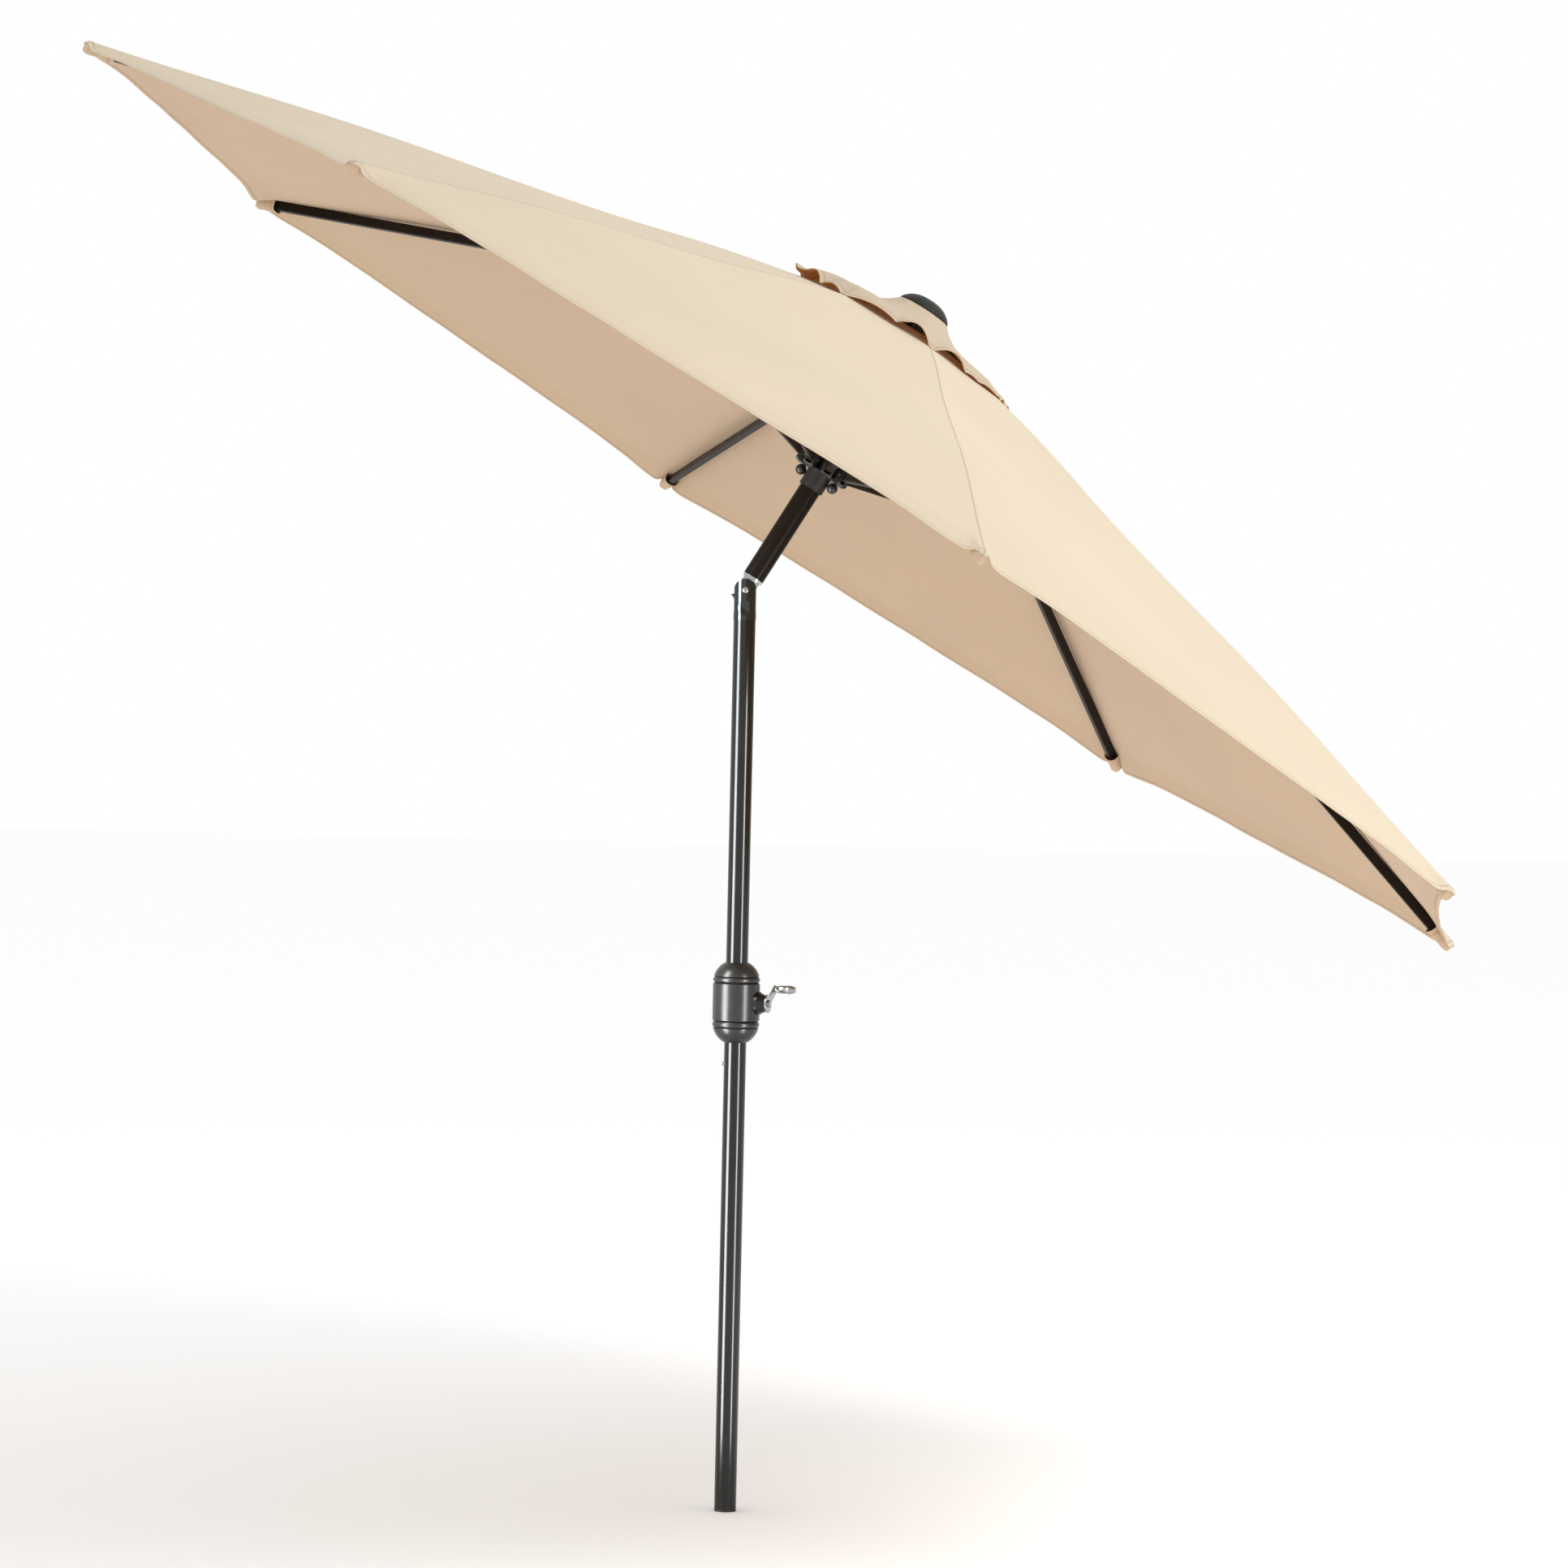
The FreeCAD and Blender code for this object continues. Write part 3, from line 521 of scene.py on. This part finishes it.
def gore_point(gore, u, t):
    """Middle of the cloth in gore number gore, the one after that rib: outward, sideways, height.

    u runs from the vent hole to the hem, and t from -1 on the gore's first rib to 1 on the next.
    """
    inner, outer = gore_ends(t)
    outward = inner + (outer - inner) * u
    sideways = t * math.sin(HALF) * (HOLE_R + (TIP_R - HOLE_R) * u)
    rib_r = outward / math.cos(HALF)
    lift = (RIB_HALF_HEIGHT + CLOTH_GAP + CLOTH / 2) / math.cos(RIB_SLOPE)
    height = HINGE_S + lift - (rib_r - HINGE_R) * math.tan(RIB_SLOPE)
    outer_span = np.clip((rib_r - STRUT_R) / (POCKET_R - STRUT_R), 0, 1)
    inner_span = np.clip((rib_r - HOLE_R) / (STRUT_R - HOLE_R), 0, 1)
    bow = np.sin(math.pi * outer_span) ** 2 + 0.6 * np.sin(math.pi * inner_span) ** 2
    height = height + CLOTH_LIFT * bow
    belly = 1 - t ** 2
    height = height - GORE_SAG * belly * np.sin(math.pi * u) - HEM_DROP * belly * u ** 6
    free = smooth(belly * 3) * smooth((u - 0.02) * 12)
    height = height + UNEVENNESS * free * waves(outward, sideways, gore)
    height = height + HEM_RIPPLE * belly * u ** 30 * np.sin(sideways * 34 + gore * 1.9)
    return outward, sideways, height


def gore_ends(t):
    """Distances from the mast of the vent hole's edge and of the hem."""
    edge = np.abs(t)
    inner = HOLE_R * math.cos(HALF) - VENT_EDGE_SAG * (1 - edge ** 2)
    outer = TIP_R * math.cos(HALF) - HEM_SAG * (1 - edge ** 3)
    return inner, outer


def before(number):
    return (number - 2) % RIBS + 1


def puckers(number, radius, across):
    """Small gathers of the cloth round the pocket at a rib's tip."""
    near = np.exp(-((TIP_R - 0.03 - radius) / 0.045) ** 2) * np.exp(-(across / 0.035) ** 2)
    fan = across / np.maximum(TIP_R + 0.02 - radius, 0.02)
    return PUCKER_HEIGHT * near * np.sin(fan * 16 + number * 2.2) * smooth(np.abs(across) / 0.008)


def panel_point(number, u, side):
    """Middle of the cloth near a rib: along the rib's direction, across it, and height.

    side is 0 on the rib, and -1 and 1 in the middle of the gore before and of the gore after.
    """
    u, side = np.broadcast_arrays(u, side)
    after = np.stack(gore_point(number, u, side - 1))
    ahead = np.stack(gore_point(before(number), u, side + 1))
    outward, sideways, height = np.where(side >= 0, after, ahead)
    turn = np.where(side >= 0, HALF, -HALF)
    radius = outward * np.cos(turn) - sideways * np.sin(turn)
    across = outward * np.sin(turn) + sideways * np.cos(turn)
    held = np.exp(-(across / 0.020) ** 2) * (1 - 0.7 * smooth((radius - RIB_TOP_R) / 0.009))
    height = height - TIP_DROP * smooth((u - 0.955) / 0.045) * (1 - held)
    beside = smooth((np.abs(across) - 0.007) / 0.016) * np.exp(-(across / 0.12) ** 2)
    height = height - HOOD_DROP * beside * smooth((radius - HOOD_R) / 0.08)
    return radius, across, height + puckers(number, radius, across)


def cloth_height(number, radius, across):
    """Height of the middle of the cloth over points near a rib."""
    turn = np.where(across >= 0, HALF, -HALF)
    outward = radius * np.cos(turn) + across * np.sin(turn)
    sideways = across * np.cos(turn) - radius * np.sin(turn)
    u = (radius - HOLE_R) / (TIP_R - HOLE_R)
    for _ in range(12):
        t = sideways / (math.sin(HALF) * (HOLE_R + (TIP_R - HOLE_R) * u))
        inner, outer = gore_ends(t)
        u = (outward - inner) / (outer - inner)
    side = np.where(across >= 0, t + 1, t - 1)
    return panel_point(number, np.minimum(u, 1.0), side)[2]


def spread_rows():
    """Places along a gore, from 0 at the vent hole to 1 at the hem, closer at its stitches."""
    length = TIP_R - HOLE_R
    from_hem = [0.0, 0.0004, 0.0016, 0.005, HEM_WIDTH - STITCH_INSET, HEM_WIDTH - 0.001, HEM_WIDTH,
                HEM_WIDTH + 0.001, HEM_WIDTH + 0.003]
    place = from_hem[-1]
    step = 0.004
    while place + step < 0.12:
        place += step
        from_hem.append(place)
    while place + step < length:
        place += step
        from_hem.append(place)
        step = min(step * 1.12, 0.024)
    from_hem[-1] = length
    return 1 - np.array(from_hem[::-1]) / length


def spread_columns():
    """Places across half a gore, from 0 on the rib to 1 in its middle, closer at the rib."""
    count = 30
    even = np.linspace(0, 1, count + 1)
    return even ** 2


def cloth_thickness(from_hem, across):
    """Extra thickness of the hem above and below, and of the felled seam below."""
    hem = smooth((HEM_WIDTH - from_hem) / 0.0008)
    rounding = np.sqrt(np.clip(from_hem / 0.0016, 0.04, 1.0))
    groove = np.exp(-((from_hem - HEM_WIDTH + STITCH_INSET) / 0.0007) ** 2)
    seam = smooth((SEAM_WIDTH - np.abs(across)) / 0.001)
    above = (CLOTH / 2 + HEM_EXTRA_ABOVE * hem - STITCH_GROOVE * groove) * rounding
    below = (CLOTH / 2 + HEM_EXTRA_BELOW * hem) * rounding + SEAM_EXTRA_BELOW * seam
    crease = np.exp(-(across / 0.0012) ** 2)
    return above - SEAM_CREASE * crease, below


def normals_of(grid):
    """Unit normals of a grid of points, away from its first-by-second direction."""
    first = np.gradient(grid, axis=0)
    second = np.gradient(grid, axis=1)
    normal = np.cross(first, second)
    return normal / np.linalg.norm(normal, axis=-1, keepdims=True)


def panel_grid(number):
    """Grid of mid-cloth points of a rib's panel in the mast frame, and their places across."""
    half = spread_columns()
    side = np.concatenate([-half[:0:-1], half])[None, :]
    radius, across, height = panel_point(number, spread_rows()[:, None], side)
    return turned(number, radius, across, height), across


def turned(number, radius, across, height):
    """Points given along a rib, across it and up, in the mast frame."""
    angle = rib_angle(number)
    x = radius * math.cos(angle) - across * math.sin(angle)
    y = radius * math.sin(angle) + across * math.cos(angle)
    return np.stack(np.broadcast_arrays(x, y, height), axis=-1)


def closed_sheet(name, top, bottom, normals, across, from_hem, materials):
    """Closed mesh from two grids of points in the mast frame, with walls round the rim.

    across and from_hem become its U and V. The first material is on top, the second below.
    """
    rows, columns = top.shape[:2]
    count = rows * columns
    points = to_row(np.concatenate([top.reshape(-1, 3), bottom.reshape(-1, 3)]))
    index = np.arange(count).reshape(rows, columns)
    quads = np.stack([index[:-1, :-1], index[1:, :-1], index[1:, 1:], index[:-1, 1:]], axis=-1)
    quads = quads.reshape(-1, 4)
    rim = np.concatenate([index[0, :], index[1:, -1], index[-1, -2::-1], index[-2:0:-1, 0]])
    following = np.roll(rim, -1)
    walls = np.stack([rim, following, following + count, rim + count], axis=-1)
    faces = np.concatenate([quads, quads[:, ::-1] + count, walls])
    mesh = bpy.data.meshes.new(name)
    mesh.from_pydata(points.tolist(), [], faces.tolist())
    mesh.shade_smooth()
    mesh.validate()
    turn = np.array(MAST.to_3x3())
    both = np.concatenate([normals[0].reshape(-1, 3), -normals[1].reshape(-1, 3)]) @ turn.T
    corner = points[walls[:, 0]]
    side = np.cross(points[walls[:, 1]] - corner, points[walls[:, 3]] - corner)
    side /= np.maximum(np.linalg.norm(side, axis=1, keepdims=True), 1e-12)
    corners = np.concatenate([both[faces[: 2 * len(quads)].ravel()], np.repeat(side, 4, axis=0)])
    mesh.normals_split_custom_set(corners.tolist())
    place = np.stack(np.broadcast_arrays(across, from_hem), axis=-1).reshape(-1, 2)
    place = np.concatenate([place, place])[faces.ravel()]
    layer = mesh.uv_layers.new(name="cloth")
    layer.data.foreach_set("uv", place.astype(np.float32).ravel())
    for material in materials:
        mesh.materials.append(material)
    below = np.zeros(len(faces), np.int32)
    below[len(quads): 2 * len(quads)] = 1
    mesh.polygons.foreach_set("material_index", below)
    piece = bpy.data.objects.new(name, mesh)
    bpy.context.scene.collection.objects.link(piece)
    return piece


def share_normals(layers):
    """Makes the normals agree where each panel meets the next, in the middle of a gore."""
    for here in range(RIBS):
        after = (here + 1) % RIBS
        shared = layers[here][:, -1] + layers[after][:, 0]
        shared /= np.linalg.norm(shared, axis=-1, keepdims=True)
        layers[here][:, -1] = shared
        layers[after][:, 0] = shared


def sheets_round(name, grids, from_hem, materials):
    """The eight rib-centred panels of a cloth from their grids of points and places across."""
    middle = [normals_of(grid) for grid, _ in grids]
    share_normals(middle)
    surfaces = []
    for (grid, across), normal in zip(grids, middle):
        above, below = cloth_thickness(from_hem, across)
        surfaces.append((grid + normal * above[..., None], grid - normal * below[..., None]))
    tops = [normals_of(top) for top, _ in surfaces]
    bottoms = [normals_of(bottom) for _, bottom in surfaces]
    share_normals(tops)
    share_normals(bottoms)
    panels = []
    for here in range(RIBS):
        top, bottom = surfaces[here]
        normals = (tops[here], bottoms[here])
        across = grids[here][1]
        panel = closed_sheet(name % (here + 1), top, bottom, normals, across, from_hem, materials)
        panels.append(panel)
    return panels


def make_canopy(materials):
    grids = [panel_grid(number) for number in range(1, RIBS + 1)]
    from_hem = (1 - spread_rows())[:, None] * (TIP_R - HOLE_R)
    panels = sheets_round("canopy_panel_%d_cloth", grids, from_hem, materials)
    for number, panel in enumerate(panels, 1):
        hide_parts("canopy_panel_%d" % number)
        follow_rib(panel, number)
    return panels


def to_row(points):
    """From the mast frame to the row frame."""
    turn = np.array(MAST.to_3x3())
    return points @ turn.T + np.array(MAST.translation)


def follow_rib(piece, number):
    """The piece moves with a rib."""
    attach(piece, "rib_%d" % number)
    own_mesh(piece)


# ---- pockets at the rib tips -------------------------------------------------------------------
def along_rib(place, depth):
    """Distance from the mast and height of a point along a rib and off its middle line."""
    radius = HINGE_R + place * math.cos(RIB_SLOPE) + depth * math.sin(RIB_SLOPE)
    height = HINGE_S - place * math.sin(RIB_SLOPE) + depth * math.cos(RIB_SLOPE)
    return radius, height


def pocket_grid(number):
    """Sleeve under a rib's end, sewn to the cloth along both sides and closed at its nose."""
    round_nose = 1 + np.sin(np.linspace(0, 1, 12)[1:] * math.pi / 2)
    stations = np.concatenate([np.linspace(0, 1, 25), round_nose])
    body = np.minimum(stations, 1.0)
    nose = np.sqrt(np.clip(1 - np.maximum(stations - 1, 0) ** 2, 0, 1))
    place = RIB_END - POCKET_LENGTH * (1 - body) + NOSE_LENGTH * np.maximum(stations - 1, 0)
    mouth = (1 - body) ** 2
    half_width = (POCKET_HALF_WIDTH + POCKET_FLARE * mouth) * (0.35 + 0.65 * nose)
    droop = POCKET_SLACK + POCKET_SLACK_SPREAD * abs(math.sin(number * 2.1))
    low = -(POCKET_DEPTH + droop * mouth)
    flange = POCKET_FLANGE * (0.5 + 0.5 * nose)
    angles = np.linspace(0, math.pi, 33)[None, :]
    power = (0.60 + 0.15 * mouth)[:, None]
    lip = np.ones((len(stations), 1)) * np.linspace(1, 0, 5)[None, :-1]
    across_shape = -np.sign(np.cos(angles)) * np.abs(np.cos(angles)) ** power
    drop_shape = np.clip(np.sin(angles), 0, 1) ** power
    shape = np.concatenate([-1 - lip, across_shape, 1 + lip[:, ::-1]], axis=1)
    drop = np.concatenate([0 * lip, drop_shape, 0 * lip], axis=1)
    over = np.sign(shape) * np.maximum(np.abs(shape) - 1, 0)
    inside = np.clip(shape, -1, 1)
    across = inside * half_width[:, None] + over * flange[:, None]
    crease = np.sin(place[:, None] * 330 + inside * 2.2 + number * 1.7)
    crease = crease + 0.6 * np.sin(place[:, None] * 150 - inside * 4.1 + number)
    slack = CREASE_DEPTH * np.maximum(crease, -0.2) * drop * (0.4 + 0.6 * mouth[:, None])
    across = across * (1 + 0.5 * slack / POCKET_HALF_WIDTH)
    top_depth = RIB_HALF_HEIGHT + CLOTH_GAP
    top_radius, _ = along_rib(place, top_depth)
    top_radius = np.minimum(top_radius, TIP_R - POCKET_END_INSET)
    reach = TIP_R - HEM_CLEARANCE - HEM_SLOPE * np.abs(across)
    surface_radius = np.minimum(np.broadcast_to(top_radius[:, None], across.shape), reach)
    surface = cloth_height(number, surface_radius, across) - CLOTH / 2
    surface = surface - POCKET_UNDER_HEM * nose[:, None]
    _, low_height = along_rib(place, low)
    deep = (surface - low_height[:, None] + slack) * nose[:, None]
    fall = deep * drop
    radius = surface_radius - fall * math.sin(RIB_SLOPE) * math.cos(RIB_SLOPE)
    return turned(number, radius, across, surface - fall), place, across


def make_pocket(number, materials):
    grid, place, across = pocket_grid(number)
    normal = normals_of(grid)
    half = POCKET_CLOTH / 2
    inner = grid + normal * half
    outer = grid - normal * half
    from_mouth = (place - place[0])[:, None]
    name = "pocket_%d" % number
    sheet = closed_sheet(name, inner, outer, (normal, normal), across + 0.1, from_mouth, materials)
    follow_rib(sheet, number)
    return sheet


# ---- vent cap ----------------------------------------------------------------------------------
def cap_arch(gore, t):
    """Height of the cap's loose edge over the canopy, from the arches of that gore."""
    total = np.zeros(np.shape(t))
    for middle, half_width, height in CAP_ARCHES[gore]:
        away = np.clip(np.abs(t - middle) / half_width, 0, 1)
        total = total + height * (1 - away ** 2)
    return total


def cap_point(number, v, side):
    """Middle of the cap's cloth round a rib, v from the neck to the rim, in the mast frame."""
    v, side = np.broadcast_arrays(v, side)
    off_middle = HALF * (1 - np.abs(side))
    tab_height, tab_length = CAP_TABS.get(number, (0.0, 0.0))
    tab = np.exp(-(side / 0.17) ** 2) * smooth((v - 0.86) / 0.14)
    rim = CAP_RIM_R * math.cos(HALF) / np.cos(off_middle)
    radius = CAP_NECK_R + (rim - CAP_NECK_R) * v + tab_length * tab
    even = CAP_NECK_R + (CAP_RIM_R - CAP_NECK_R) * v
    octagon = radius * np.cos(off_middle) / math.cos(HALF)
    rib_r = even + (octagon - even) * smooth(v * 2)
    lift = (RIB_HALF_HEIGHT + CLOTH_GAP + CLOTH) / math.cos(RIB_SLOPE)
    canopy = HINGE_S + lift - (rib_r - HINGE_R) * math.tan(RIB_SLOPE)
    bell = CAP_BELL * np.exp(-(even - FINIAL_R) / CAP_BELL_FADE) + CAP_CLEARANCE
    bell = bell + CAP_OUTER_CLEARANCE * smooth((even - 0.1) / 0.12)
    azimuth = rib_angle(number) + side * HALF
    upwind = 0.5 - 0.5 * np.cos(azimuth - FIRST_RIB)
    bell = bell + CAP_PUFF * upwind * smooth((even - 0.085) / 0.09)
    arch = np.where(side >= 0, cap_arch(number, side - 1), cap_arch(before(number), side + 1))
    edge = smooth((v - 0.80) / 0.20)
    clear = bell * (1 - edge) + (CAP_RIM_CLEARANCE + arch) * edge + tab_height * tab
    flutes = 0.12 * (arch - 0.008) * smooth((v - 0.3) / 0.5) * (1 - edge)
    height = np.minimum(canopy + clear + flutes, FINIAL_S - CAP_CLOTH / 2 - CAP_UNDER_FINIAL)
    return turned(number, radius * np.cos(side * HALF), radius * np.sin(side * HALF), height)


def make_vent_cap(materials):
    rows = np.concatenate([
        np.linspace(0, 0.9, 44),
        np.linspace(0.9, 0.985, 12)[1:],
        [0.993, 0.998, 1.0],
    ])
    side = np.linspace(-1, 1, 97)[None, :]
    length = CAP_RIM_R - CAP_NECK_R
    grids = []
    for number in range(1, RIBS + 1):
        grid = cap_point(number, rows[:, None], side)
        across = (CAP_NECK_R + length * rows[:, None]) * np.sin(side * HALF) + 1.0
        grids.append((grid, across))
    from_hem = (1 - rows)[:, None] * length
    panels = sheets_round("vent_cap_%d_cloth", grids, from_hem, materials)
    for number, panel in enumerate(panels, 1):
        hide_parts("vent_cap")
        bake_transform(panel)
    return panels


# ---- lift cord ---------------------------------------------------------------------------------
def make_drop_cords(material):
    """Two stretches of cord between crown and runner."""
    rings = 96
    sides = 16
    points = []
    faces = []
    for azimuth in CORD_AZIMUTHS_DEG:
        turn = math.radians(azimuth)
        middle = Vector((CORD_R * math.cos(turn), CORD_R * math.sin(turn), 0))
        first = len(points)
        for ring in range(rings + 1):
            height = CORD_LOW_S + (CORD_HIGH_S - CORD_LOW_S) * ring / rings
            for step in range(sides):
                angle = 2 * math.pi * step / sides
                round_point = Vector((math.cos(angle), math.sin(angle), 0)) * CORD_HALF
                points.append(MAST @ (middle + round_point + Vector((0, 0, height))))
        for ring in range(rings):
            for step in range(sides):
                a = first + ring * sides + step
                b = first + ring * sides + (step + 1) % sides
                faces.append((a, b, b + sides, a + sides))
        faces.append(tuple(range(first + sides - 1, first - 1, -1)))
        faces.append(tuple(range(len(points) - sides, len(points))))
    mesh = bpy.data.meshes.new("lift_cord_taut")
    mesh.from_pydata([tuple(point) for point in points], [], faces)
    mesh.shade_smooth()
    mesh.materials.append(material)
    cord = bpy.data.objects.new("lift_cord_taut", mesh)
    bpy.context.scene.collection.objects.link(cord)
    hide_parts("lift_cord_drop")
    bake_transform(cord)


make_camera()
looks = hard_materials()
make_floor()
make_lights(finish_hard_parts(looks))
top_cloth = cloth_material("cream_cloth", TOP_COLOUR, 0.12)
# the underside material is the cream cloth with painted shade: a darker colour, not another fabric
shaded_under_cloth = cloth_material("cream_cloth_painted_shade", UNDER_SHADED_COLOUR, 0.12)
cap_cloth = cloth_material("cap_cloth", TOP_COLOUR, 0.3)
# the cap's underside material has painted light: an orange glow of light through the cloth
glowing_cap_under_cloth = cloth_material("cap_cloth_painted_glow", CAP_UNDER_GLOW_COLOUR, 0.45)
canopy = make_canopy((top_cloth, shaded_under_cloth))
pockets = [make_pocket(number, (shaded_under_cloth, shaded_under_cloth)) for number in range(1, RIBS + 1)]
caps = make_vent_cap((cap_cloth, glowing_cap_under_cloth))
make_drop_cords(looks["cord"])

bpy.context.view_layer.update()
